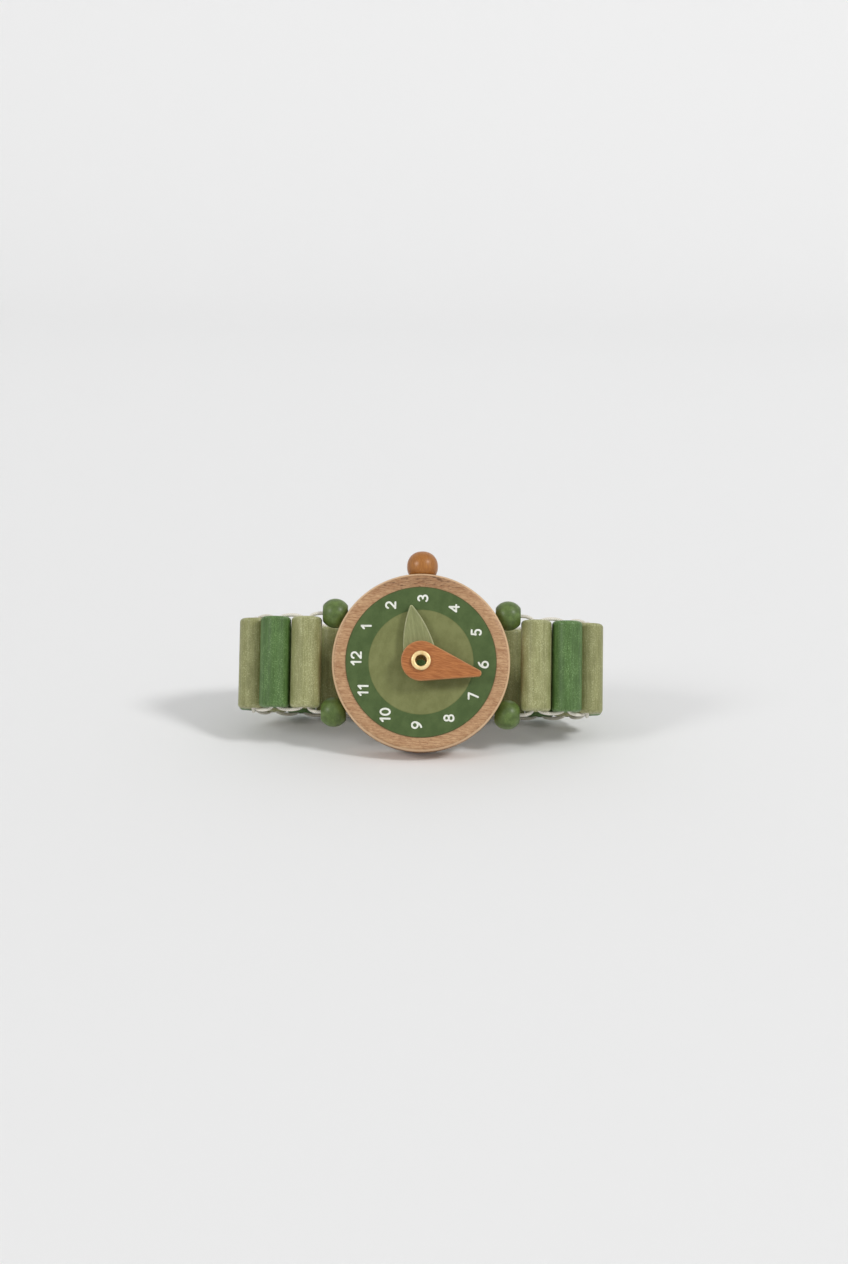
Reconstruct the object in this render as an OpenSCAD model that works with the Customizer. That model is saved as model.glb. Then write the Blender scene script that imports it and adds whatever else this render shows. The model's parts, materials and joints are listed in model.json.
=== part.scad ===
// Wooden toy watch on an elastic strap of painted tubes, lying on its side with the dial towards -Y.
// The watch is drawn upright, with the back of its case on the plane y = 0 and the crown along +Z,
// and the module resting() then leans it back on to the table, which is the plane z = 0.

/* [Case] */
// Diameter of the wooden case
case_d = 40; // [36:0.5:46]
// Thickness of the case
case_t = 9; // [8:0.5:12]
// Rounding of the case's two edges
case_edge = 1.2; // [0.6:0.1:2]

/* [Dial] */
// Outer diameter of the dark printed ring
dial_ring_d = 33.8; // [30:0.2:35]
// Diameter of the pale printed centre
dial_centre_d = 23.5; // [18:0.5:26]
// Thickness of the printed layers
print_t = 0.15; // [0.1:0.05:0.4]

/* [Hands] */
// Thickness of each wooden hand
hand_t = 1.8; // [1.2:0.1:2.5]
// Minute hand, from the pivot to its tip
minute_l = 13.7; // [10:0.1:16]
// Minute hand, radius of its round end
minute_hub_r = 4.45; // [3.5:0.05:5]
// Minute hand, radius of its tip
minute_tip_r = 0.75; // [0.4:0.05:1.5]
// Minute hand, angle from the crown, clockwise as the dial is read
minute_angle = 101.5; // [0:0.5:360]
// Hour hand, from the pivot to its tip
hour_l = 12.8; // [9:0.1:15]
// Hour hand, half of its width at the pivot
hour_half_w = 3.7; // [3:0.05:4.5]
// Hour hand, radius of its tip
hour_tip_r = 0.4; // [0.2:0.05:1]
// Hour hand, angle from the crown, clockwise as the dial is read
hour_angle = 349.2; // [0:0.5:360]

/* [Eyelet] */
// Bore of the brass eyelet
eyelet_bore_d = 2.5; // [2:0.1:3]
// Wall of the eyelet's barrel
eyelet_wall = 0.3; // [0.2:0.05:0.5]
// Diameter of the eyelet's two rims
eyelet_rim_d = 4.4; // [4.2:0.1:5.5]
// Thickness of the eyelet's rims
eyelet_rim_t = 0.6; // [0.4:0.05:1]
// Diameter of the washer behind the case
washer_d = 7; // [6.5:0.1:9]
// Thickness of the washer
washer_t = 0.6; // [0.4:0.1:1]

/* [Crown] */
// Diameter of the ball-shaped crown
crown_d = 7; // [5:0.1:8]
// Height of the ball's centre above the case's rim
crown_rise = 2; // [1:0.1:2.4]
// Diameter of the dowel that holds the crown
peg_d = 3; // [2:0.1:3.4]
// Depth of the dowel in the case
peg_depth = 6; // [4:0.1:7]

/* [Strap] */
// Diameter of a strap tube
tube_d = 6.9; // [6:0.1:8]
// Length of a strap tube
tube_l = 20.6; // [18:0.2:24]
// Bore of a strap tube
tube_bore_d = 2.5; // [2.4:0.05:3]
// Rounding of a tube's ends
tube_edge = 0.9; // [0.4:0.1:1.4]
// Widening of the bore at a tube's ends
tube_mouth = 0.3; // [0.2:0.05:0.6]
// Room between two neighbours on the strap
strap_gap = 0.2; // [0.15:0.01:0.4]
// Tubes on each side, without the one in the middle of the back
links = 9; // [8:1:11]
// Links over which each side of the loop turns back
turn_span = 10; // [8:0.5:12]

/* [Beads] */
// Diameter of a round bead
bead_d = 6.7; // [5.5:0.1:7]
// Length of a bead between its two flat ends
bead_l = 5.6; // [4.6:0.1:6]
// Bore of a bead, and of the two cross bores in the case
bead_bore_d = 1.8; // [1.4:0.1:2.2]
// Height of the beads' row above the ends of the tubes
bead_rise = 0.9; // [0.7:0.05:1.4]

/* [Elastic] */
// Diameter of the elastic
cord_d = 0.8; // [0.6:0.05:0.9]
// Distance of each strand from the axis of the bore it runs through
strand_shift = 0.75; // [0.6:0.01:0.8]
// Height of the elastic's middle over the end of a tube, where it crosses to the next one
loop_rise = 0.6; // [0.5:0.05:1]
// Bend of the elastic at a tube's end, along its middle
loop_bend = 0.8; // [0.6:0.05:1.2]

/* [Fits] */
// Radial play of the hands on the eyelet
hand_play = 0.06; // [0.03:0.01:0.1]
// Room between the layers on the dial
stack_gap = 0.15; // [0.1:0.01:0.3]
// Radial room of glued and riveted pieces in their holes
fit_gap = 0.04; // [0.02:0.01:0.1]
// Depth by which the riveted end stays below the case's back
rivet_sink = 0.2; // [0.1:0.05:0.5]

/* [Hidden] */
$fn = 72;
overrun = 1;
half_turn = 180;
quarter_turn = 90;
// How early in its turn the strap bends most
turn_bias = 5;
// Halvings used to close the loop
closing_steps = 40;
// Step to which the places along the strap's first stretch are rounded up
place_step = 0.01;
// Part of the crown's height that the dowel fills
peg_in_crown_share = 0.6;

case_r = case_d / 2;
tube_r = tube_d / 2;
bead_r = bead_d / 2;
cord_r = cord_d / 2;
crown_r = crown_d / 2;
crown_z = case_r + crown_rise;
crown_y = -case_t / 2;

barrel_r = eyelet_bore_d / 2 + eyelet_wall;
hand_hole_r = barrel_r + hand_play;
hour_back = case_t + print_t + stack_gap;
minute_back = hour_back + hand_t + stack_gap;
rim_back = minute_back + hand_t + stack_gap;
eyelet_front = rim_back + eyelet_rim_t;
pocket_depth = rivet_sink + eyelet_rim_t + washer_t;
pocket_r = washer_d / 2 + strap_gap;

// The strap's tubes touch the same surface as the case's back.
strap_y = -tube_r;
strand_z = tube_l / 2 + bead_rise;
edge_x = ceil(sqrt(pow(case_r, 2) - pow(strand_z, 2)) / place_step) * place_step;
bead_x = edge_x + strap_gap + bead_l / 2;
first_x = bead_x + bead_l / 2 + strap_gap + tube_r;
pitch = tube_d + strap_gap;

function total(values, i = 0) = i < len(values) ? values[i] + total(values, i + 1) : 0;

// Share of the half turn that is made at u of the way along it.
function turned_share(u) =
    u <= 0 ? 0 : u >= 1 ? 1 : 1 - pow(1 - u, turn_bias) * (1 + turn_bias * u);

// Direction of link k, from tube k to the next one: 0 leads away from the case, a half turn leads back.
function heading(k, start) = half_turn * turned_share((k - start) / turn_span);

// Distance from the middle at which the last link of a side ends, for a turn that begins at start.
function miss(start) = first_x + pitch * total([for (k = [1:links]) cos(heading(k, start))]);

// Start of the turn at which both sides meet in the middle of the back.
function closing_start(low, high, steps) =
    let (middle = (low + high) / 2)
    steps == 0 ? middle
    : miss(middle) > 0 ? closing_start(low, middle, steps - 1)
    : closing_start(middle, high, steps - 1);

turn_start = closing_start(-links, links, closing_steps);
headings = [for (k = [1:links]) heading(k, turn_start)];

// Axis of tube k in plan. Tube links + 1 is the one in the middle of the back.
function tube_axis(k) = [
    first_x + pitch * total([for (j = [1:1:k - 1]) cos(headings[j - 1])]),
    strap_y + pitch * total([for (j = [1:1:k - 1]) sin(headings[j - 1])])
];
loop_back_y = tube_axis(links + 1)[1];

// Lean at which the case's lower edge and the back tubes' lower ends touch the table together.
lean_run = case_edge + loop_back_y + tube_r - tube_edge;
lean_rise = case_r - case_edge - (tube_l / 2 - tube_edge);
lean = atan2(lean_rise, lean_run) + asin((case_edge - tube_edge) / norm([lean_run, lean_rise]));
table_drop = (case_r - case_edge) * cos(lean) - case_edge * sin(lean) + case_edge;
front_y = (case_edge - case_t) * cos(lean) - (case_r - case_edge) * sin(lean) - case_edge;
back_y = (loop_back_y + tube_r - tube_edge) * cos(lean)
    + (tube_l / 2 - tube_edge) * sin(lean) + tube_edge;

SIDES = ["right", "left"];
LEVELS = ["upper", "lower"];
function tube_name(side, k) = str(side, "_tube_", k);
function elastic_name(side, k) = str(side, "_elastic_", k);
function bead_name(level, side) = str(level, "_", side, "_bead");

wood_colour = "#b9936c";
ring_colour = "#51603c";
centre_colour = "#7c8054";
brass_colour = "#cfb380";
crown_colour = "#b07c4d";
minute_colour = "#ab6d45";
hour_colour = "#8b9063";
bead_colour = "#64794c";
dark_tube_colour = "#5d774e";
pale_tube_colour = "#979970";
elastic_colour = "#d8d2c4";

// Places the upright watch on the table, under the middle of its own box.
module resting() {
    translate([0, -(front_y + back_y) / 2, table_drop])
        rotate([-lean, 0, 0])
        children();
}

// Turns a shape drawn flat towards the viewer, with its base at this height above the case's back.
module facing(height) {
    translate([0, -height, 0])
        rotate([quarter_turn, 0, 0])
        children();
}

// Swaps a shape of the right half to the side that is named.
module on_side(side) {
    mirror([side == "left" ? 1 : 0, 0, 0])
        children();
}

module rounded_disc(r, t, edge) {
    rotate_extrude() {
        square([r - edge, t]);
        translate([0, edge])
            square([r, t - edge * 2]);
        for (y = [edge, t - edge])
            translate([r - edge, y])
                circle(edge);
    }
}

module ring_plate(outer_r, inner_r, t) {
    difference() {
        cylinder(r = outer_r, h = t);
        translate([0, 0, -overrun])
            cylinder(r = inner_r, h = t + overrun * 2);
    }
}

module case() {
    color(wood_colour)
    difference() {
        facing(0)
            rounded_disc(case_r, case_t, case_edge);
        facing(-overrun)
            cylinder(r = barrel_r + fit_gap, h = case_t + overrun * 2);
        facing(-overrun)
            cylinder(r = pocket_r, h = pocket_depth + overrun);
        translate([0, crown_y, case_r - peg_depth])
            cylinder(d = peg_d + fit_gap * 2, h = peg_depth + overrun);
        for (z = [-strand_z, strand_z]) {
            translate([-case_r, strap_y, z])
                rotate([0, quarter_turn, 0])
                cylinder(d = bead_bore_d, h = case_d);
            for (x = [-bead_x, bead_x])
                translate([x, strap_y, z])
                    sphere(bead_r + strap_gap);
        }
    }
}

module dial_ring() {
    color(ring_colour)
    facing(case_t)
        ring_plate(dial_ring_d / 2, dial_centre_d / 2, print_t);
}

module dial_centre() {
    color(centre_colour)
    facing(case_t)
        ring_plate(dial_centre_d / 2, barrel_r + fit_gap, print_t);
}

module eyelet_rim() {
    translate([eyelet_bore_d / 2, 0])
        square([(eyelet_rim_d - eyelet_rim_t - eyelet_bore_d) / 2, eyelet_rim_t]);
    translate([(eyelet_rim_d - eyelet_rim_t) / 2, eyelet_rim_t / 2])
        circle(d = eyelet_rim_t);
}

module eyelet() {
    color(brass_colour)
    facing(rivet_sink)
        rotate_extrude() {
            translate([eyelet_bore_d / 2, 0])
                square([eyelet_wall, eyelet_front - rivet_sink]);
            eyelet_rim();
            translate([0, rim_back - rivet_sink])
                eyelet_rim();
        }
}

module back_washer() {
    color(brass_colour)
    facing(rivet_sink + eyelet_rim_t)
        ring_plate(washer_d / 2, barrel_r + fit_gap, washer_t);
}

module crown_knob() {
    color(crown_colour)
    difference() {
        translate([0, crown_y, crown_z])
            sphere(crown_r);
        translate([-crown_r, crown_y - crown_r, crown_z - crown_d])
            cube([crown_d, crown_d, crown_d - crown_rise + fit_gap]);
        translate([0, crown_y, case_r])
            cylinder(d = peg_d + fit_gap * 2, h = crown_d * peg_in_crown_share);
    }
}

module crown_peg() {
    color(wood_colour)
    translate([0, crown_y, case_r - peg_depth])
        cylinder(d = peg_d, h = peg_depth + crown_d * peg_in_crown_share - fit_gap);
}

// Leaf with two round flanks that meet in a small round tip, drawn along +Y.
module leaf_outline(length, half_w, tip_r) {
    sharp_l = length - tip_r;
    flank_r = (pow(sharp_l, 2) + pow(half_w, 2) - pow(tip_r, 2)) / (half_w - tip_r) / 2;
    tip_start = sharp_l * flank_r / (flank_r - tip_r);
    intersection() {
        translate([-half_w, 0])
            square([half_w * 2, tip_start]);
        translate([half_w - flank_r, 0])
            circle(flank_r);
        translate([flank_r - half_w, 0])
            circle(flank_r);
    }
    circle(half_w);
    translate([0, sharp_l])
        circle(tip_r);
}

// Drop with straight flanks between a round end and a round tip, drawn along +Y.
module drop_outline(length, hub_r, tip_r) {
    tip_y = length - tip_r;
    flank = asin((hub_r - tip_r) / tip_y);
    hub_side = [hub_r * cos(flank), hub_r * sin(flank)];
    tip_side = [tip_r * cos(flank), tip_y + tip_r * sin(flank)];
    circle(hub_r);
    translate([0, tip_y])
        circle(tip_r);
    polygon([hub_side, tip_side, [-tip_side[0], tip_side[1]], [-hub_side[0], hub_side[1]]]);
}

module pivoted_plate() {
    difference() {
        linear_extrude(hand_t)
            children();
        translate([0, 0, -overrun])
            cylinder(r = hand_hole_r, h = hand_t + overrun * 2);
    }
}

module hour_hand() {
    color(hour_colour)
    facing(hour_back)
        rotate(-hour_angle)
        pivoted_plate()
        leaf_outline(hour_l, hour_half_w, hour_tip_r);
}

module minute_hand() {
    color(minute_colour)
    facing(minute_back)
        rotate(-minute_angle)
        pivoted_plate()
        drop_outline(minute_l, minute_hub_r, minute_tip_r);
}

// Closed ring of elastic in the XZ plane, round its own middle.
module elastic_ring(half_w, half_h) {
    for (z = [-half_h, half_h])
        translate([loop_bend - half_w, 0, z])
            rotate([0, quarter_turn, 0])
            cylinder(r = cord_r, h = (half_w - loop_bend) * 2);
    for (x = [-half_w, half_w])
        translate([x, 0, loop_bend - half_h])
            cylinder(r = cord_r, h = (half_h - loop_bend) * 2);
    for (mx = [0, 1], mz = [0, 1])
        mirror([mx, 0, 0])
            mirror([0, 0, mz])
            translate([half_w - loop_bend, 0, half_h - loop_bend])
            rotate([quarter_turn, 0, 0])
            rotate_extrude(angle = quarter_turn)
            translate([loop_bend, 0])
            circle(cord_r);
}

module case_elastic() {
    color(elastic_colour)
    translate([0, strap_y, 0])
        elastic_ring(first_x - strand_shift, strand_z);
}

module link_elastic(side, k) {
    axis = tube_axis(k);
    color(elastic_colour)
    on_side(side)
        translate([axis[0], axis[1], 0])
        rotate(headings[k - 1])
        translate([pitch / 2, 0, 0])
        elastic_ring(pitch / 2 - strand_shift, tube_l / 2 + loop_rise);
}

module bead(level, side) {
    color(bead_colour)
    on_side(side)
        translate([bead_x, strap_y, level == "upper" ? strand_z : -strand_z])
        rotate([0, quarter_turn, 0])
        difference() {
            intersection() {
                sphere(bead_r);
                cube([bead_d, bead_d, bead_l], center = true);
            }
            cylinder(d = bead_bore_d, h = bead_d, center = true);
        }
}

module tube_profile() {
    bore_r = tube_bore_d / 2;
    half_l = tube_l / 2;
    difference() {
        union() {
            translate([bore_r, -half_l])
                square([tube_r - tube_edge - bore_r, tube_l]);
            translate([bore_r, tube_edge - half_l])
                square([tube_r - bore_r, tube_l - tube_edge * 2]);
            for (y = [tube_edge - half_l, half_l - tube_edge])
                translate([tube_r - tube_edge, y])
                    circle(tube_edge);
        }
        for (turn = [1, -1])
            polygon([
                [bore_r, turn * half_l],
                [bore_r + tube_mouth, turn * half_l],
                [bore_r, turn * (half_l - tube_mouth)]
            ]);
    }
}

module strap_tube(side, k) {
    axis = tube_axis(k);
    color(k % 2 == 0 ? dark_tube_colour : pale_tube_colour)
    on_side(side)
        translate([axis[0], axis[1], 0])
        rotate_extrude()
        tube_profile();
}

resting() case();
resting() dial_ring();
resting() dial_centre();
resting() eyelet();
resting() back_washer();
resting() crown_knob();
resting() crown_peg();
resting() hour_hand();
resting() minute_hand();
resting() case_elastic();
resting() strap_tube("right", links + 1);  // back_tube
for (side = SIDES, level = LEVELS)
    resting() bead(level, side);
for (side = SIDES, k = [1:links]) {
    resting() strap_tube(side, k);
    resting() link_elastic(side, k);
}
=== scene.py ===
"""Looks of the wooden toy watch: grain, paint, printed numbers, brass and elastic around the CAD frame."""
import json
import math

import bmesh
import bpy
from mathutils import Matrix, Vector
from mathutils.geometry import delaunay_2d_cdt


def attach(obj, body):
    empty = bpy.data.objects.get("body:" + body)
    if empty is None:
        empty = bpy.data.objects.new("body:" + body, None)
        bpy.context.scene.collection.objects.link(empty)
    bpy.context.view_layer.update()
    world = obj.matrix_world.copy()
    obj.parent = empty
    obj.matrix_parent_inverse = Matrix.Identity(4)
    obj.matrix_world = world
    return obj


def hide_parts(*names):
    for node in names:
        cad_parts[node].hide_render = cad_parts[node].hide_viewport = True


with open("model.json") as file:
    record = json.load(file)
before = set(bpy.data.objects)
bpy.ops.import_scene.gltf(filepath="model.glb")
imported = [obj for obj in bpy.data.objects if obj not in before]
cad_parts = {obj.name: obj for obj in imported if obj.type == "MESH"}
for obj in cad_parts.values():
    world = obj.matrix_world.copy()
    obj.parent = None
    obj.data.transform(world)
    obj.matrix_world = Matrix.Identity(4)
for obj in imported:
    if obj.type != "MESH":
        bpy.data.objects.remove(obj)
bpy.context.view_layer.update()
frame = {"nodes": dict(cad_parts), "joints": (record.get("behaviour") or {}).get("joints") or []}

MM = 0.001
SIDES = ("right", "left")
LINKS = 9

# The upright watch has x across the dial from twelve to six, y into the case from the dial's face and z to
# the crown.
joints = {joint["name"]: joint for joint in frame["joints"]}
DIAL_MIDDLE = Vector(joints["hour_hand_turn"]["pos_m"])
TO_CROWN = Vector(joints["strap_flex"]["axis"])
LEAN = math.atan2(TO_CROWN.y, TO_CROWN.z)
UPRIGHT = Matrix.Translation(DIAL_MIDDLE) @ Matrix.Rotation(-LEAN, 4, "X") @ Matrix.Scale(MM, 4)
TO_UPRIGHT = UPRIGHT.inverted()


def upright_box(node):
    """Lowest and highest corner of a CAD node in the upright watch, in millimetres."""
    points = [TO_UPRIGHT @ vertex.co for vertex in frame["nodes"][node].data.vertices]
    return [Vector(map(pick, *points)) for pick in (min, max)]


CASE_LOW, CASE_HIGH = upright_box("case")
CASE_R = CASE_HIGH.x
CASE_MIDDLE = (CASE_LOW.y + CASE_HIGH.y) / 2
CASE_HALF_T = (CASE_HIGH.y - CASE_LOW.y) / 2
TUBE_HALF = upright_box("right_tube_1")[1].z
RING_R = upright_box("dial_ring")[1].x
CENTRE_R = upright_box("dial_centre")[1].x
PRINT_FRONT = upright_box("dial_ring")[0].y

# Hands, as the photograph shows them. Angles run clockwise from the crown.
MINUTE_ANGLE = math.radians(101.5)
HOUR_ANGLE = math.radians(349.2)
MINUTE_L = 13.7
MINUTE_HUB_R = 4.45
MINUTE_TIP_R = 0.75
HOUR_L = 12.8
HOUR_HALF_W = 3.7
HOUR_TIP_R = 0.4
HAND_HOLE_R = 1.61
HAND_EDGE = 0.3
HAND_HOLE_EDGE = 0.12
HAND_FLAT = 0.12
HAND_EDGE_STEPS = 4

# Eyelet and crown
EYELET_BORE_R = 1.25
EYELET_WALL = 0.3
EYELET_RIM_T = 0.6
EYELET_RIM_EDGE = 0.06
EYELET_DOME_T = 0.34
EYELET_FULLNESS = 2.6
EYELET_STEPS = 24
CROWN_FULLNESS = 2.18
CROWN_STEPS = 40
DOWEL_ROOM = 0.05

# Elastic
CORD_R = 0.4
CORD_SIDES = 12
STRAND_SHIFT = 0.75
LOOP_RISE = 0.45
LOOP_DIP = 0.48
LOOP_STEPS = 16
CASE_BEND_W = 2.4
CASE_BEND_H = 1.2
CASE_BEND_STEPS = 10

# Printed numbers
HOURS = 12
NUMBER_RADIUS = 14.23
NUMBER_SHIFT = Vector((-0.29, 0.09))
NUMBER_TURN = math.radians(1.9)
NUMBER_H = 2.5
NUMBER_STROKE = 0.42
NUMBER_SPACE = 0.42
INK_T = 0.03

# Points closer than this are one point
WELD = 1e-5


# Meshes


def ended(bm, name, weld=False, outward=True, soft=True):
    """Mesh from a drawing that is done, welded where it asks for it."""
    if weld:
        bmesh.ops.remove_doubles(bm, verts=bm.verts, dist=WELD)
    if outward:
        bmesh.ops.recalc_face_normals(bm, faces=bm.faces)
    mesh = bpy.data.meshes.new(name)
    bm.to_mesh(mesh)
    bm.free()
    if soft:
        mesh.polygons.foreach_set("use_smooth", [True] * len(mesh.polygons))
    return mesh


def finished(name, mesh, material, body, replaces=None):
    """Puts a mesh drawn in the upright watch on the table and lets it ride on a body."""
    mesh.transform(UPRIGHT)
    mesh.update()
    made = bpy.data.objects.new(name, mesh)
    bpy.context.scene.collection.objects.link(made)
    mesh.materials.append(material)
    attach(made, body)
    if replaces:
        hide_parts(replaces)


def arc(middle, radius, start, end, steps):
    """Points on a round or oval arc, with angles in degrees."""
    rx, ry = radius if isinstance(radius, tuple) else (radius, radius)
    for i in range(steps + 1):
        a = math.radians(start + (end - start) * i / steps)
        yield middle[0] + rx * math.cos(a), middle[1] + ry * math.sin(a)


def rim_arc(middle, radius, start, end, steps):
    """Points and outward normals of a round stretch of an outline, with angles in radians."""
    for i in range(steps + 1):
        a = start + (end - start) * i / steps
        normal = Vector((math.cos(a), math.sin(a)))
        yield Vector(middle) + normal * radius, normal


def drop_rim(length, hub_r, tip_r):
    """Outline of the minute hand: a round hub that narrows to a small round tip."""
    tip_y = length - tip_r
    flank = math.asin((hub_r - tip_r) / tip_y)
    yield from rim_arc((0, 0), hub_r, math.pi - flank, math.tau + flank, steps=72)
    yield from rim_arc((0, tip_y), tip_r, flank, math.pi - flank, steps=20)


def leaf_rim(length, half_w, tip_r):
    """Outline of the hour hand: a half round with two bowed flanks that meet at a small round tip."""
    sharp_l = length - tip_r
    flank_r = (sharp_l ** 2 + half_w ** 2 - tip_r ** 2) / (half_w - tip_r) / 2
    turn = math.atan2(sharp_l, flank_r - half_w)
    yield from rim_arc((half_w - flank_r, 0), flank_r, 0, turn, steps=24)
    yield from rim_arc((0, sharp_l), tip_r, turn, math.pi - turn, steps=12)
    yield from rim_arc((flank_r - half_w, 0), flank_r, math.pi - turn, math.pi, steps=24)
    yield from rim_arc((0, 0), half_w, math.pi, math.tau, steps=40)


def hand(name, rim, angle, material):
    """Flat wooden hand with a pivot hole and softly rounded edges."""
    low, high = upright_box(name)
    thickness = high.y - low.y
    rim = list(rim)
    bm = bmesh.new()
    worn = bm.verts.layers.float.new("rounding")

    def ring(inset, height, hole, shade):
        made = []
        for point, normal in rim:
            if hole:
                place = point.normalized() * (HAND_HOLE_R + inset)
            else:
                place = point - normal * inset
            u = place.x * math.cos(angle) + place.y * math.sin(angle)
            v = place.y * math.cos(angle) - place.x * math.sin(angle)
            vert = bm.verts.new((u, high.y - height, v))
            vert[worn] = shade
            made.append(vert)
        return made

    def rounded(edge, hole):
        """Rings from the flat back over the rounded edge to the flat front."""
        turns = [math.pi / 2 * i / HAND_EDGE_STEPS for i in range(HAND_EDGE_STEPS + 1)]
        flat = edge + HAND_FLAT
        rings = [ring(flat, 0.0, hole, 0.0)]
        for a in turns:
            rings.append(ring(edge * (1 - math.sin(a)), edge * (1 - math.cos(a)), hole, math.sin(a)))
        for a in turns:
            height = thickness - edge * (1 - math.sin(a))
            rings.append(ring(edge * (1 - math.cos(a)), height, hole, math.cos(a)))
        return [*rings, ring(flat, thickness, hole, 0.0)]

    outer = rounded(HAND_EDGE, False)
    inner = rounded(HAND_HOLE_EDGE, True)
    walls = outer + inner[::-1]
    count = len(rim)
    for a, b in zip(walls, walls[1:] + walls[:1]):
        for i in range(count):
            bm.faces.new((a[i], a[(i + 1) % count], b[(i + 1) % count], b[i]))
    finished(name + "_look", ended(bm, name, weld=True), material, name, name)


def lathe(name, profile, steps=96):
    """Closed profile of (radius, y) turned round the y axis."""
    bm = bmesh.new()
    turns = []
    for i in range(steps):
        a = math.tau * i / steps
        turns.append([bm.verts.new((r * math.cos(a), y, r * math.sin(a))) for r, y in profile])
    count = len(profile)
    for a, b in zip(turns, turns[1:] + turns[:1]):
        for i in range(count):
            bm.faces.new((a[i], a[(i + 1) % count], b[(i + 1) % count], b[i]))
    return ended(bm, name, weld=True)


def swept_loop(name, points, normal):
    """Closed flat loop of round cord, with its length in millimetres along U."""
    bm = bmesh.new()
    uv = bm.loops.layers.uv.new("cord")
    count = len(points)
    angles = [math.tau * k / CORD_SIDES for k in range(CORD_SIDES)]
    rings = []
    lengths = [0.0]
    for i, point in enumerate(points):
        along = (points[(i + 1) % count] - points[i - 1]).normalized()
        side = along.cross(normal).normalized()
        ways = [side * math.cos(a) + normal * math.sin(a) for a in angles]
        rings.append([bm.verts.new(point + way * CORD_R) for way in ways])
        lengths.append(lengths[-1] + (points[(i + 1) % count] - point).length)
    for i in range(count):
        a, b = rings[i], rings[(i + 1) % count]
        for k in range(CORD_SIDES):
            after = (k + 1) % CORD_SIDES
            face = bm.faces.new((a[k], b[k], b[after], a[after]))
            corners = ((i, k), (i + 1, k), (i + 1, k + 1), (i, k + 1))
            for loop, (u, v) in zip(face.loops, corners):
                loop[uv].uv = (lengths[u], v / CORD_SIDES)
    return ended(bm, name)


# Printed numbers, in units of their height


def bowed(start, bend, end, steps=14):
    """Points on a curve from start to end that is drawn towards bend."""
    for i in range(steps + 1):
        t = i / steps
        yield tuple((1 - t) ** 2 * a + 2 * t * (1 - t) * b + t * t * c for a, b, c in zip(start, bend, end))


DIGITS = {
    "0": [[*arc((0.33, 0.5), (0.33, 0.5), 0, 180, 20)], [*arc((0.33, 0.5), (0.33, 0.5), 180, 360, 20)]],
    "1": [[(0.02, 0.74), (0.3, 1.0)], [(0.3, 1.0), (0.3, 0.0)]],
    "2": [
        [*arc((0.32, 0.69), 0.31, 165, -38, 20), (0.02, 0.0)],
        [(0.02, 0.0), (0.64, 0.0)],
    ],
    "3": [
        [*arc((0.29, 0.75), (0.27, 0.25), 150, -90, 18)],
        [*arc((0.29, 0.25), (0.32, 0.25), 90, -150, 18)],
    ],
    "4": [[(0.5, 0.0), (0.5, 1.0)], [(0.5, 1.0), (0.0, 0.28)], [(0.0, 0.28), (0.7, 0.28)]],
    "5": [
        [(0.53, 1.0), (0.12, 1.0)],
        [(0.12, 1.0), (0.06, 0.55)],
        [(0.06, 0.55), *arc((0.29, 0.31), (0.28, 0.31), 120, -145, 22)],
    ],
    "6": [
        [*bowed((0.52, 1.0), (0.05, 0.82), (0.01, 0.31))],
        [*arc((0.32, 0.31), 0.31, 0, 180, 20)],
        [*arc((0.32, 0.31), 0.31, 180, 360, 20)],
    ],
    "7": [[(0.0, 1.0), (0.62, 1.0)], [(0.62, 1.0), (0.2, 0.0)]],
    "8": [
        [*arc((0.32, 0.75), (0.26, 0.25), 0, 180, 18)],
        [*arc((0.32, 0.75), (0.26, 0.25), 180, 360, 18)],
        [*arc((0.32, 0.26), (0.31, 0.26), 0, 180, 18)],
        [*arc((0.32, 0.26), (0.31, 0.26), 180, 360, 18)],
    ],
}
SIX_W = 0.64
DIGITS["9"] = [[(SIX_W - x, 1.0 - y) for x, y in stroke] for stroke in DIGITS["6"]]
DIGIT_W = {digit: max(x for stroke in strokes for x, _ in stroke) for digit, strokes in DIGITS.items()}


def ribbon(points, half):
    """Outline of a stroke of this half width with round ends."""
    points = [Vector(p) for p in points]
    before = [points[0], *points[:-1]]
    after = [*points[1:], points[-1]]
    ways = [(b - a).normalized() for a, b in zip(before, after)]
    lefts = [p + Vector((-w.y, w.x)) * half for p, w in zip(points, ways)]
    rights = [p - Vector((-w.y, w.x)) * half for p, w in zip(points, ways)]

    def cap(middle, way, steps=8):
        start = math.atan2(-way.x, way.y)
        for i in range(1, steps):
            a = start + math.pi * i / steps
            yield middle + Vector((math.cos(a), math.sin(a))) * half

    return [*rights, *cap(points[-1], ways[-1]), *lefts[::-1], *cap(points[0], -ways[0])]


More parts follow.
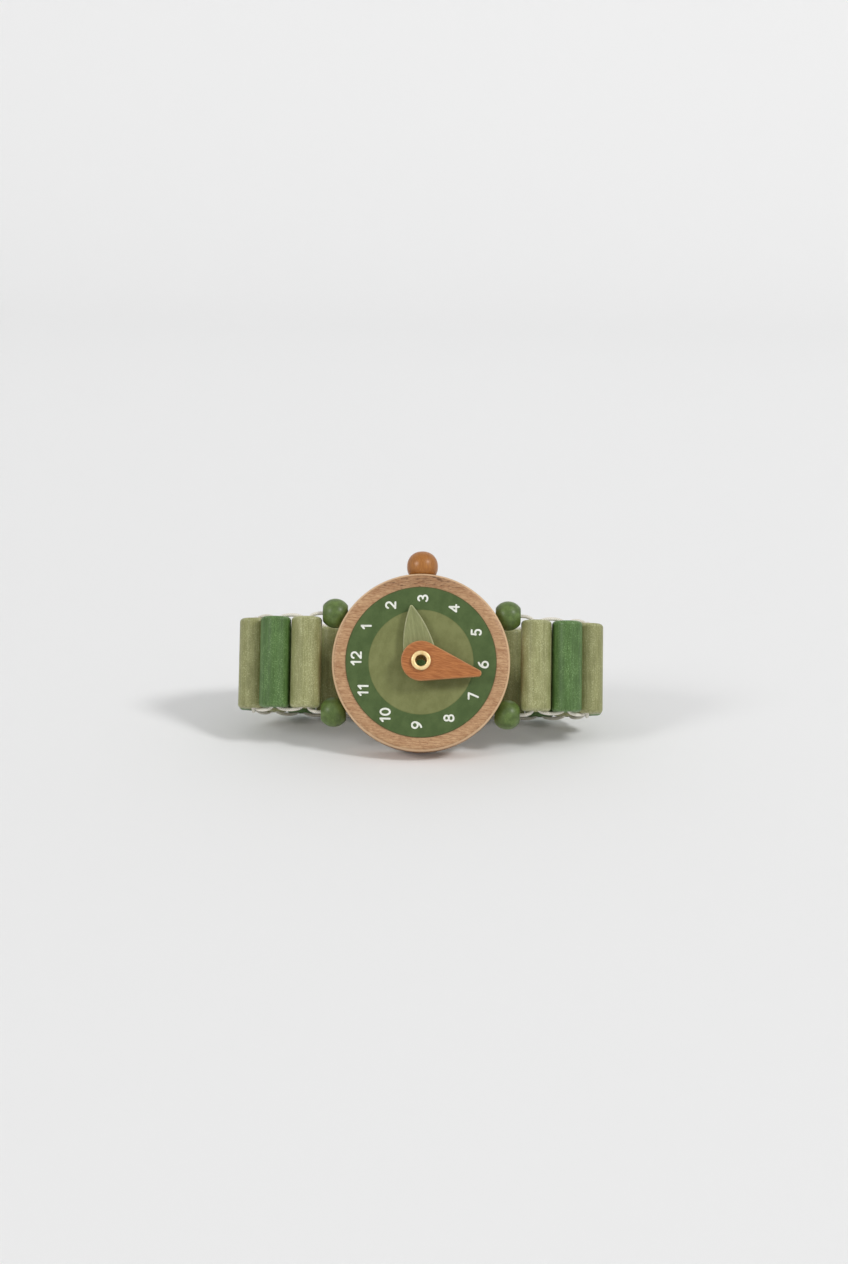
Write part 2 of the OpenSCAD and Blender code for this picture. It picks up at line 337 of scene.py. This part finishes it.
def printed_number(value, material):
    """Flat white number on the dial, upright for a reader who has twelve at the top."""
    scale = NUMBER_H - NUMBER_STROKE
    strokes = []
    pen = 0.0
    for digit in str(value):
        strokes += [[(pen + x * scale, y * scale) for x, y in stroke] for stroke in DIGITS[digit]]
        pen += DIGIT_W[digit] * scale + NUMBER_STROKE + NUMBER_SPACE
    width = pen - NUMBER_STROKE - NUMBER_SPACE
    outlines = [ribbon(stroke, NUMBER_STROKE / 2) for stroke in strokes]
    corners = [Vector(point) for outline in outlines for point in outline]
    faces = []
    first = 0
    for outline in outlines:
        faces.append(list(range(first, first + len(outline))))
        first += len(outline)
    whole_hull = 0
    points, _, triangles, _, _, sources = delaunay_2d_cdt(corners, [], faces, whole_hull, WELD)
    inked = [triangle for triangle, source in zip(triangles, sources) if source]
    used = sorted({index for triangle in inked for index in triangle})

    # Twelve lies to the left, so a number's own right is up and its top is to the left.
    around = math.tau * value / HOURS + NUMBER_TURN
    middle = Vector((-math.cos(around), math.sin(around))) * NUMBER_RADIUS + NUMBER_SHIFT
    bm = bmesh.new()
    layers = []
    for depth in (PRINT_FRONT, PRINT_FRONT - INK_T):
        layer = {}
        for index in used:
            right = points[index].x - width / 2
            top = points[index].y - scale / 2
            layer[index] = bm.verts.new((middle.x - top, depth, middle.y + right))
        layers.append(layer)
    below, above = layers
    edges = {}
    for triangle in inked:
        bm.faces.new([above[i] for i in triangle])
        bm.faces.new([below[i] for i in reversed(triangle)])
        for a, b in zip(triangle, [*triangle[1:], triangle[0]]):
            edges[(a, b)] = True
    for a, b in edges:
        if (b, a) not in edges:
            bm.faces.new((above[b], above[a], below[a], below[b]))
    name = f"number_{value}"
    finished(name, ended(bm, name, soft=False), material, "case")


# Materials


def linear(colour):
    """Colour as written in sRGB, such as b08c66, for a shader."""
    channels = [int(colour[i:i + 2], 16) / 255 for i in (0, 2, 4)]
    values = [c / 12.92 if c <= 0.04045 else ((c + 0.055) / 1.055) ** 2.4 for c in channels]
    return (*values, 1.0)


def socket_name(word):
    """Name of a shader's socket, such as Coat Weight for coat_weight."""
    return word.replace("_", " ").title().replace("Ior", "IOR")


class Nodes:
    """A node tree that grows one call at a time."""

    def __init__(self, tree):
        self.tree = tree

    def node(self, kind, inputs=None, output=0, **settings):
        made = self.tree.nodes.new(kind)
        for name, value in settings.items():
            setattr(made, name, value)
        for socket, value in (inputs or {}).items():
            if isinstance(value, bpy.types.NodeSocket):
                self.tree.links.new(value, made.inputs[socket])
            else:
                made.inputs[socket].default_value = value
        return made.outputs[output]

    def math(self, operation, a, b=0.0):
        return self.node("ShaderNodeMath", {0: a, 1: b}, operation=operation)

    def seen(self):
        """One where the eye meets a surface, straight, mirrored or through glass, and nought elsewhere."""
        kinds = ("Camera", "Glossy", "Transmission")
        rays = [self.node("ShaderNodeLightPath", output=f"Is {kind} Ray") for kind in kinds]
        return self.math("ADD", self.math("ADD", rays[0], rays[1]), rays[2])


class Finish(Nodes):
    """A material on the standard shader, whose constant sockets are given by name."""

    def __init__(self, name, **shader):
        self.material = bpy.data.materials.new(name)
        self.material.use_nodes = True
        super().__init__(self.material.node_tree)
        self.shader = self.tree.nodes["Principled BSDF"]
        for word, value in shader.items():
            self.shader.inputs[socket_name(word)].default_value = value

    def upright(self):
        """Place in the upright watch, in millimetres."""
        place = self.node("ShaderNodeTexCoord", output="Object")
        settings = {
            "Vector": place,
            "Location": DIAL_MIDDLE,
            "Rotation": (-LEAN, 0, 0),
            "Scale": (MM, MM, MM),
        }
        return self.node("ShaderNodeMapping", settings, vector_type="TEXTURE")

    def noise(self, place, lengths, detail=3.0, turn=0.0, roughness=0.55, distortion=0.0):
        """Noise whose features have these lengths along x, y and z, turned round the dial's axis."""
        settings = {"Vector": place, "Rotation": (0, turn, 0), "Scale": lengths}
        vector = self.node("ShaderNodeMapping", settings, vector_type="TEXTURE")
        inputs = {
            "Vector": vector,
            "Scale": 1.0,
            "Detail": detail,
            "Roughness": roughness,
            "Distortion": distortion,
        }
        return self.node("ShaderNodeTexNoise", inputs)

    def remap(self, value, low, high, to_low=0.0, to_high=1.0):
        inputs = {"Value": value, "From Min": low, "From Max": high, "To Min": to_low, "To Max": to_high}
        return self.node("ShaderNodeMapRange", inputs, interpolation_type="SMOOTHSTEP")

    def mix(self, factor, a, b):
        inputs = {0: factor, 6: a, 7: b}
        return self.node("ShaderNodeMix", inputs, output=2, data_type="RGBA")

    def split(self, place):
        made = self.tree.nodes.new("ShaderNodeSeparateXYZ")
        self.tree.links.new(place, made.inputs[0])
        return made.outputs

    def radius(self, place):
        """Distance from the dial's axis, in millimetres."""
        x, _, z = self.split(place)
        squares = self.math("ADD", self.math("MULTIPLY", x, x), self.math("MULTIPLY", z, z))
        return self.math("SQRT", squares)

    def bump(self, height, distance, strength=1.0):
        inputs = {"Height": height, "Distance": distance * MM, "Strength": strength}
        self.tree.links.new(self.node("ShaderNodeBump", inputs), self.shader.inputs["Normal"])

    def set(self, **sockets):
        for word, value in sockets.items():
            self.tree.links.new(value, self.shader.inputs[socket_name(word)])
        return self.material


def case_wood():
    """Bare, oiled wood with its grain across the dial."""
    made = Finish("case_wood", specular_ior_level=0.3, coat_weight=0.08, coat_roughness=0.3)
    at = made.upright()
    fibre = made.noise(at, (3.2, 0.4, 0.3), detail=5.0, turn=0.06, roughness=0.65)
    figure = made.noise(at, (9.0, 2.4, 1.6), detail=3.0, turn=0.1, distortion=1.0)
    fleck = made.noise(at, (0.75, 0.26, 0.26), detail=3.0, turn=0.06)
    colour = made.mix(made.remap(fibre, 0.32, 0.68), linear("a07652"), linear("c7a27b"))
    colour = made.mix(made.remap(figure, 0.48, 0.68, 0.0, 0.5), colour, linear("976b49"))
    colour = made.mix(made.remap(fleck, 0.52, 0.68, 0.0, 0.6), colour, linear("865c3f"))
    colour = made.mix(made.remap(fleck, 0.45, 0.3, 0.0, 0.5), colour, linear("d3ae88"))
    # A darker layer of growth along the upper rim, with long open pores
    _, depth, height = made.split(at)
    upper = made.remap(height, 13.5, 18.5)
    colour = made.mix(made.math("MULTIPLY", upper, 0.4), colour, linear("8a6140"))
    long_pore = made.noise(at, (1.8, 0.3, 0.2), detail=3.0, turn=-0.12, roughness=0.6)
    pore = made.math("ADD", long_pore, made.math("MULTIPLY", upper, 0.14))
    colour = made.mix(made.remap(pore, 0.68, 0.75, 0.0, 0.85), colour, linear("4a2c1b"))
    # The rounded edges are painted paler: partly a painted highlight where the rounding catches the light,
    # partly rubbed wood
    off_middle = made.math("ABSOLUTE", made.math("SUBTRACT", depth, CASE_MIDDLE))
    at_face = made.remap(off_middle, CASE_HALF_T - 1.1, CASE_HALF_T - 0.7)
    edge = made.math("MULTIPLY", made.remap(made.radius(at), CASE_R - 0.55, CASE_R - 0.3), at_face)
    colour = made.mix(made.math("MULTIPLY", edge, 0.8), colour, linear("e2c19a"))
    made.bump(made.math("SUBTRACT", fibre, made.remap(pore, 0.64, 0.74)), distance=0.06, strength=0.5)
    return made.set(base_color=colour, roughness=made.remap(fibre, 0.3, 0.7, 0.58, 0.45))


def stained_wood(name, dark, light, line, turn=0.0, worn=None, roughness=0.46):
    """Stained and lacquered wood with its grain along the crown's direction, turned round the dial's axis."""
    made = Finish(name, specular_ior_level=0.35, coat_weight=0.12, coat_roughness=0.25)
    at = made.upright()
    fibre = made.noise(at, (0.2, 0.2, 2.6), detail=4.0, turn=turn, roughness=0.6)
    figure = made.noise(at, (0.9, 0.9, 9.0), detail=3.0, turn=turn, distortion=0.4)
    pore = made.noise(at, (0.2, 0.2, 1.2), detail=2.0, turn=turn)
    mottle = made.noise(at, (1.2, 1.2, 3.0), detail=2.0, turn=turn)
    colour = made.mix(made.remap(fibre, 0.3, 0.7), dark, light)
    colour = made.mix(made.remap(figure, 0.5, 0.7, 0.0, 0.28), colour, line)
    colour = made.mix(made.remap(pore, 0.6, 0.74, 0.0, 0.5), colour, line)
    if worn:
        edge = made.node("ShaderNodeAttribute", output="Fac", attribute_name="rounding")
        rubbed = made.math("MULTIPLY", edge, made.remap(mottle, 0.3, 0.65, 0.25, 0.9))
        colour = made.mix(rubbed, colour, worn)
    made.bump(made.math("SUBTRACT", fibre, made.remap(pore, 0.58, 0.74)), distance=0.04, strength=0.5)
    uneven = made.remap(mottle, 0.3, 0.7, roughness - 0.05, roughness + 0.08)
    return made.set(base_color=colour, roughness=uneven)


def tube_paint(name, dark, light, fine):
    """Satin paint on turned wood: brushed along the tube, finely speckled, and painted paler at both ends, a
    painted highlight on the rounded ends with the paint partly worn thin.
    """
    made = Finish(name, specular_ior_level=0.3, coat_weight=0.2, coat_roughness=0.16)
    at = made.upright()
    brush = made.noise(at, (0.26, 0.26, 7.0), detail=4.0)
    cloud = made.noise(at, (2.0, 2.0, 4.0), detail=2.0)
    speckle = made.noise(at, (0.24, 0.24, 0.28), detail=2.0)
    shade = made.math("ADD", made.math("MULTIPLY", brush, 0.6), made.math("MULTIPLY", cloud, 0.4))
    colour = made.mix(made.remap(shade, 0.34, 0.66), dark, light)
    # Speckles gather where the paint is thin
    thin = made.math("MULTIPLY", made.remap(speckle, 0.5, 0.7), made.remap(cloud, 0.35, 0.65, 0.3, 0.85))
    colour = made.mix(thin, colour, fine)
    # Painted highlight: both ends are mixed paler, standing in for glints on the rounded ends, partly paint
    # worn thin
    reach = made.math("ABSOLUTE", made.split(at)[2])
    end_highlight = made.remap(reach, TUBE_HALF - 0.9, TUBE_HALF - 0.1)
    rubbed = made.math("MULTIPLY", end_highlight, made.remap(brush, 0.35, 0.65))
    colour = made.mix(made.math("MULTIPLY", rubbed, 0.65), colour, fine)
    made.bump(made.math("ADD", made.math("MULTIPLY", speckle, 0.6), brush), distance=0.05, strength=0.5)
    return made.set(base_color=colour, roughness=made.remap(speckle, 0.3, 0.7, 0.45, 0.6))


def bead_paint():
    """Satin paint on turned beads, cloudy and finely speckled."""
    made = Finish("bead_paint", specular_ior_level=0.35, coat_weight=0.24, coat_roughness=0.28)
    at = made.upright()
    cloud = made.noise(at, (1.8, 1.8, 1.8), detail=3.0)
    speckle = made.noise(at, (0.18, 0.18, 0.18), detail=2.0)
    colour = made.mix(made.remap(cloud, 0.32, 0.68), linear("485c25"), linear("5d7336"))
    thin = made.math("MULTIPLY", made.remap(speckle, 0.52, 0.74), made.remap(cloud, 0.35, 0.65, 0.2, 0.6))
    colour = made.mix(thin, colour, linear("869f60"))
    made.bump(made.math("ADD", made.math("MULTIPLY", speckle, 0.5), cloud), distance=0.05, strength=0.4)
    return made.set(base_color=colour, roughness=made.remap(speckle, 0.3, 0.7, 0.42, 0.54))


def dial_ink(name, dark, light, rim_r, rim):
    """Matt ink printed on wood: cloudy where it soaked in, with a browner line along its rim."""
    made = Finish(name, specular_ior_level=0.25)
    at = made.upright()
    cloud = made.noise(at, (2.6, 2.6, 3.4), detail=3.0, turn=0.2)
    speckle = made.noise(at, (0.24, 0.24, 0.24), detail=2.0)
    fibre = made.noise(at, (3.0, 0.4, 0.3), detail=4.0, turn=0.06, roughness=0.65)
    shade = made.math("ADD", made.math("MULTIPLY", speckle, 0.3), made.math("MULTIPLY", cloud, 0.7))
    colour = made.mix(made.remap(shade, 0.36, 0.64), dark, light)
    soaked = made.math("ADD", made.radius(at), made.math("MULTIPLY", fibre, 0.3))
    colour = made.mix(made.remap(soaked, rim_r - 0.12, rim_r + 0.1, 0.0, 0.6), colour, rim)
    made.bump(made.math("ADD", fibre, made.math("MULTIPLY", speckle, 0.4)), distance=0.02, strength=0.4)
    return made.set(base_color=colour, roughness=made.remap(speckle, 0.3, 0.7, 0.5, 0.62))


def number_ink():
    """White ink that shows a little of the wood's fibre."""
    made = Finish("number_ink", specular_ior_level=0.25)
    at = made.upright()
    grain = made.noise(at, (3.0, 0.3, 0.25), detail=3.0)
    colour = made.mix(made.remap(grain, 0.25, 0.6), linear("d3d4c8"), linear("eceee6"))
    made.bump(grain, distance=0.01, strength=0.4)
    return made.set(base_color=colour, roughness=made.remap(grain, 0.3, 0.7, 0.45, 0.6))


def eyelet_brass():
    """Brushed brass with a little tarnish."""
    made = Finish("eyelet_brass", metallic=1.0)
    at = made.upright()
    scratch = made.noise(at, (0.9, 0.08, 0.08), detail=3.0)
    tarnish = made.noise(at, (1.0, 1.0, 1.0), detail=3.0)
    colour = made.mix(made.remap(tarnish, 0.35, 0.7), linear("ecd5a2"), linear("dcbd82"))
    made.bump(scratch, distance=0.01, strength=0.2)
    return made.set(base_color=colour, roughness=made.remap(scratch, 0.3, 0.7, 0.46, 0.6))


def white_elastic():
    """Braided cover: two sets of threads that cross along the cord."""
    made = Finish("white_elastic", sheen_weight=0.3)
    u, v, _ = made.split(made.node("ShaderNodeUVMap", uv_map="cord"))
    threads_around = 4
    threads_per_mm = 2.2
    threads = []
    for sign in (1.0, -1.0):
        around = made.math("MULTIPLY", v, math.tau * threads_around * sign)
        along = made.math("MULTIPLY", u, math.tau * threads_per_mm)
        threads.append(made.math("SINE", made.math("ADD", along, around)))
    braid = made.math("MAXIMUM", *threads)
    fuzz = made.noise(made.upright(), (0.2, 0.2, 0.5), detail=3.0)
    colour = made.mix(made.remap(braid, -0.2, 0.9), linear("c6bda9"), linear("efebe0"))
    colour = made.mix(made.remap(fuzz, 0.4, 0.7, 0.0, 0.4), colour, linear("f5f2ea"))
    made.bump(made.math("ADD", braid, fuzz), distance=0.03, strength=0.6)
    return made.set(base_color=colour, roughness=made.remap(fuzz, 0.3, 0.7, 0.6, 0.8))


def dress(node, material):
    """Gives a CAD node a material in all its slots."""
    slots = frame["nodes"][node].data.materials
    for i in range(len(slots)):
        slots[i] = material


wood = case_wood()
brass = eyelet_brass()
elastic = white_elastic()
beads = bead_paint()
pale_tube = tube_paint("pale_tube_paint", linear("828354"), linear("9c9d6c"), linear("c3c398"))
# Darker copy of the pale paint: partly painted shade, partly a tone of its own
deep_tube = tube_paint("deep_tube_paint", linear("7b7c4d"), linear("939463"), linear("b6b68a"))
dark_tube = tube_paint("dark_tube_paint", linear("405d2a"), linear("53733b"), linear("7a9962"))
# Every second pale tube gets a darker copy of the paint: partly painted shade for the third tube on each
# side, which turns away from the light, partly a tone of its own
TUBE_PAINTS = (pale_tube, dark_tube, deep_tube, dark_tube)

dress("case", wood)
dress("crown_peg", wood)
dress("back_washer", brass)
dress("dial_ring", dial_ink("dial_dark", linear("45582f"), linear("506338"), RING_R, linear("4d4424")))
dress("dial_centre", dial_ink("dial_pale", linear("717547"), linear("7d8152"), CENTRE_R, linear("646a3c")))
for side in SIDES:
    for level in ("upper", "lower"):
        dress(f"{level}_{side}_bead", beads)
    for k in range(1, LINKS + 1):
        dress(f"{side}_tube_{k}", TUBE_PAINTS[(k - 1) % len(TUBE_PAINTS)])
dress("back_tube", dark_tube)


# Pieces that stand for plainer solids, and the printed numbers

hour_wood = stained_wood(
    "hour_paint", linear("7b7f53"), linear("8e9263"), linear("73774b"), HOUR_ANGLE, linear("c6c39c"), 0.5
)
minute_wood = stained_wood(
    "minute_paint", linear("965729"), linear("ba7843"), linear("7a421f"), MINUTE_ANGLE, linear("c48f61"), 0.46
)
hand("hour_hand", leaf_rim(HOUR_L, HOUR_HALF_W, HOUR_TIP_R), HOUR_ANGLE, hour_wood)
hand("minute_hand", drop_rim(MINUTE_L, MINUTE_HUB_R, MINUTE_TIP_R), MINUTE_ANGLE, minute_wood)

white = number_ink()
for value in range(1, HOURS + 1):
    printed_number(value, white)


def eyelet_profile():
    """Section of a rolled brass eyelet: a thin barrel with a flat, softly domed rim at each end."""
    low, high = upright_box("eyelet")
    rim_r = high.x
    half = (rim_r - EYELET_BORE_R) / 2
    for end, way in ((low.y, 1), (high.y, -1)):
        section = []
        for i in range(EYELET_STEPS + 1):
            across = -math.cos(math.pi * i / EYELET_STEPS)
            drop = 1 - (1 - abs(across) ** EYELET_FULLNESS) ** (1 / EYELET_FULLNESS)
            section.append((EYELET_BORE_R + half + half * across, end + way * EYELET_DOME_T * drop))
        under = end + way * EYELET_RIM_T
        section += [(rim_r - EYELET_RIM_EDGE, under), (EYELET_BORE_R + EYELET_WALL, under)]
        yield from section if way == 1 else section[::-1]


finished("eyelet_look", lathe("eyelet", list(eyelet_profile())), brass, "case", "eyelet")


def crown_profile():
    """Section of the crown: a turned ball, a little square, with a flat foot and the dowel's blind hole."""
    low, high = upright_box("crown_knob")
    dowel_low, dowel_high = upright_box("crown_peg")
    ball_r = (high.x - low.x) / 2
    hole_r = (dowel_high.x - dowel_low.x) / 2 + DOWEL_ROOM
    foot = ball_r - (high.z - low.z)
    foot_angle = math.asin(foot / ball_r)
    yield hole_r, foot
    for i in range(CROWN_STEPS + 1):
        a = foot_angle + (math.pi / 2 - foot_angle) * i / CROWN_STEPS
        across = math.cos(a)
        up = math.sin(a)
        square = (across ** CROWN_FULLNESS + abs(up) ** CROWN_FULLNESS) ** (-1 / CROWN_FULLNESS)
        yield ball_r * square * across, max(ball_r * square * up, foot)
    hole_end = ball_r - (high.z - dowel_high.z) + DOWEL_ROOM
    yield 0.0, hole_end
    yield hole_r, hole_end


crown_wood = stained_wood("crown_wood", linear("985f26"), linear("ae7335"), linear("7e481b"), roughness=0.36)
crown = lathe("crown_knob", list(crown_profile()))
crown_low, crown_high = upright_box("crown_knob")
crown_r = (crown_high.x - crown_low.x) / 2
crown_middle = Vector((0, (crown_low.y + crown_high.y) / 2, crown_high.z - crown_r))
crown.transform(Matrix.Translation(crown_middle) @ Matrix.Rotation(math.pi / 2, 4, "X"))
finished("crown_look", crown, crown_wood, "case", "crown_knob")


def strap_axes(side):
    """Axes of one side's tubes in plan, from the case to the tube in the middle of the back."""
    names = [f"{side}_bend_{k}" for k in range(1, LINKS + 1)]
    # The first joint on the right is the one that the others follow
    if side == "right":
        names[0] = "strap_flex"
    places = [TO_UPRIGHT @ Vector(joints[name]["pos_m"]) for name in [*names, "back_bend"]]
    return [Vector((place.x, place.y, 0)) for place in places]


def arched_ring(middle, way, half_w, half_h):
    """Closed loop through two tubes: straight inside them, and a full arch over each end."""
    foot = half_h - LOOP_DIP
    points = []
    for top in (1, -1):
        for i in range(LOOP_STEPS + 1):
            a = math.pi * i / LOOP_STEPS
            rise = math.sin(a) * (LOOP_RISE + LOOP_DIP)
            points.append(middle + way * math.cos(a) * half_w * top + Vector((0, 0, (foot + rise) * top)))
    return points


for side in SIDES:
    axes = strap_axes(side)
    for k in range(1, LINKS + 1):
        start, end = axes[k - 1], axes[k]
        way = (end - start).normalized()
        half_w = (end - start).length / 2 - STRAND_SHIFT
        points = arched_ring((start + end) / 2, way, half_w, TUBE_HALF)
        name = f"{side}_elastic_{k}"
        mesh = swept_loop(name, points, way.cross(Vector((0, 0, 1))))
        finished(name + "_look", mesh, elastic, f"{side}_link_{k}", name)


def case_loop():
    """Elastic through the case and its beads, which turns into the first tube on each side."""
    first = strap_axes("right")[0]
    half_w = first.x - STRAND_SHIFT
    row = upright_box("case_elastic")[1].z - CORD_R
    points = []
    for x, z in ((1, 1), (-1, 1), (-1, -1), (1, -1)):
        corner = []
        for i in range(CASE_BEND_STEPS + 1):
            a = math.pi / 2 * i / CASE_BEND_STEPS
            u = half_w - CASE_BEND_W + CASE_BEND_W * math.cos(a)
            h = row - CASE_BEND_H + CASE_BEND_H * math.sin(a)
            corner.append(Vector((u * x, first.y, h * z)))
        points += corner if x * z > 0 else corner[::-1]
    return points


loop = swept_loop("case_elastic", case_loop(), Vector((0, 1, 0)))
finished("case_elastic_look", loop, elastic, "case", "case_elastic")


# Floor, light and camera

FLOOR_FRONT = -1.9
FLOOR_BACK = 0.7
SWEEP_R = 0.35
SWEEP_STEPS = 24
WALL_TOP = 1.6
STAGE_HALF_W = 2.0
WHITE = (1.0, 1.0, 1.0, 1.0)
PAPER_GLOW = 0.1
GLOW_FRONT = -0.35
GLOW_BACK = 0.65
SKY_LIGHT = 0.5
SKY_SEEN = 0.82


def floor_paper():
    """Matt paper that stays pale to the eye where it runs away from the lamps."""
    made = Finish("floor_paper", base_color=linear("ebebeb"), roughness=0.9, emission_color=WHITE)
    place = made.node("ShaderNodeTexCoord", output="Object")
    glow = made.remap(made.split(place)[1], GLOW_FRONT, GLOW_BACK, 0.0, PAPER_GLOW)
    return made.set(emission_strength=made.math("MULTIPLY", glow, made.seen()))


def sweep():
    """Pale floor that runs up into a wall behind the watch."""
    profile = [(FLOOR_FRONT, 0.0)]
    for i in range(SWEEP_STEPS + 1):
        a = math.pi / 2 * i / SWEEP_STEPS
        profile.append((FLOOR_BACK + SWEEP_R * math.sin(a), SWEEP_R * (1 - math.cos(a))))
    profile.append((FLOOR_BACK + SWEEP_R, WALL_TOP))
    bm = bmesh.new()
    rows = [[bm.verts.new((x, y, z)) for y, z in profile] for x in (-STAGE_HALF_W, STAGE_HALF_W)]
    for i in range(len(profile) - 1):
        bm.faces.new((rows[0][i], rows[1][i], rows[1][i + 1], rows[0][i + 1]))
    mesh = ended(bm, "floor", outward=False)
    floor = bpy.data.objects.new("floor", mesh)
    bpy.context.scene.collection.objects.link(floor)
    mesh.materials.append(floor_paper())


def lamp(name, place, size, power):
    """Round soft lamp that points at the dial."""
    data = bpy.data.lights.new(name, "AREA")
    data.shape = "DISK"
    data.size = size
    data.energy = power
    made = bpy.data.objects.new(name, data)
    made.location = place
    made.rotation_euler = (DIAL_MIDDLE - Vector(place)).to_track_quat("-Z", "Y").to_euler()
    bpy.context.scene.collection.objects.link(made)


sweep()
lamp("key", place=(1.3, -0.91, 1.44), size=0.48, power=18.4)
lamp("fill", place=(-1.44, -1.1, 1.06), size=0.62, power=11.2)

world = bpy.data.worlds.new("studio")
world.use_nodes = True
sky = world.node_tree.nodes["Background"]
sky.inputs["Color"].default_value = WHITE
air = Nodes(world.node_tree)
strength = air.math("ADD", air.math("MULTIPLY", air.seen(), SKY_SEEN - SKY_LIGHT), SKY_LIGHT)
world.node_tree.links.new(strength, sky.inputs["Strength"])
bpy.context.scene.world = world
bpy.context.scene.view_settings.view_transform = "Standard"

# The photograph's size in pixels, the dial's middle in it, and the pixels to a millimetre there
IMAGE_W = 848
IMAGE_H = 1264
DIAL_PIXEL = (421.0, 662.0)
PIXELS_PER_MM = 4.475
BELOW_NORMAL = math.radians(5.5)
CAMERA_ROLL = math.radians(0.9)
CAMERA_DISTANCE = 450.0
SENSOR = 36.0

camera_data = bpy.data.cameras.new("camera")
camera = bpy.data.objects.new("camera", camera_data)
bpy.context.scene.collection.objects.link(camera)
camera_data.sensor_width = SENSOR
camera_data.lens = SENSOR * CAMERA_DISTANCE * PIXELS_PER_MM / IMAGE_H
elevation = LEAN - BELOW_NORMAL
back = Vector((0, -math.cos(elevation), math.sin(elevation)))
turn = (-back).to_track_quat("-Z", "Y").to_matrix() @ Matrix.Rotation(CAMERA_ROLL, 3, "Z")
off_middle = Vector((IMAGE_W / 2 - DIAL_PIXEL[0], DIAL_PIXEL[1] - IMAGE_H / 2, 0)) / PIXELS_PER_MM
camera_place = DIAL_MIDDLE + (back * CAMERA_DISTANCE + turn @ off_middle) * MM
camera.matrix_world = Matrix.Translation(camera_place) @ turn.to_4x4()
bpy.context.scene.camera = camera
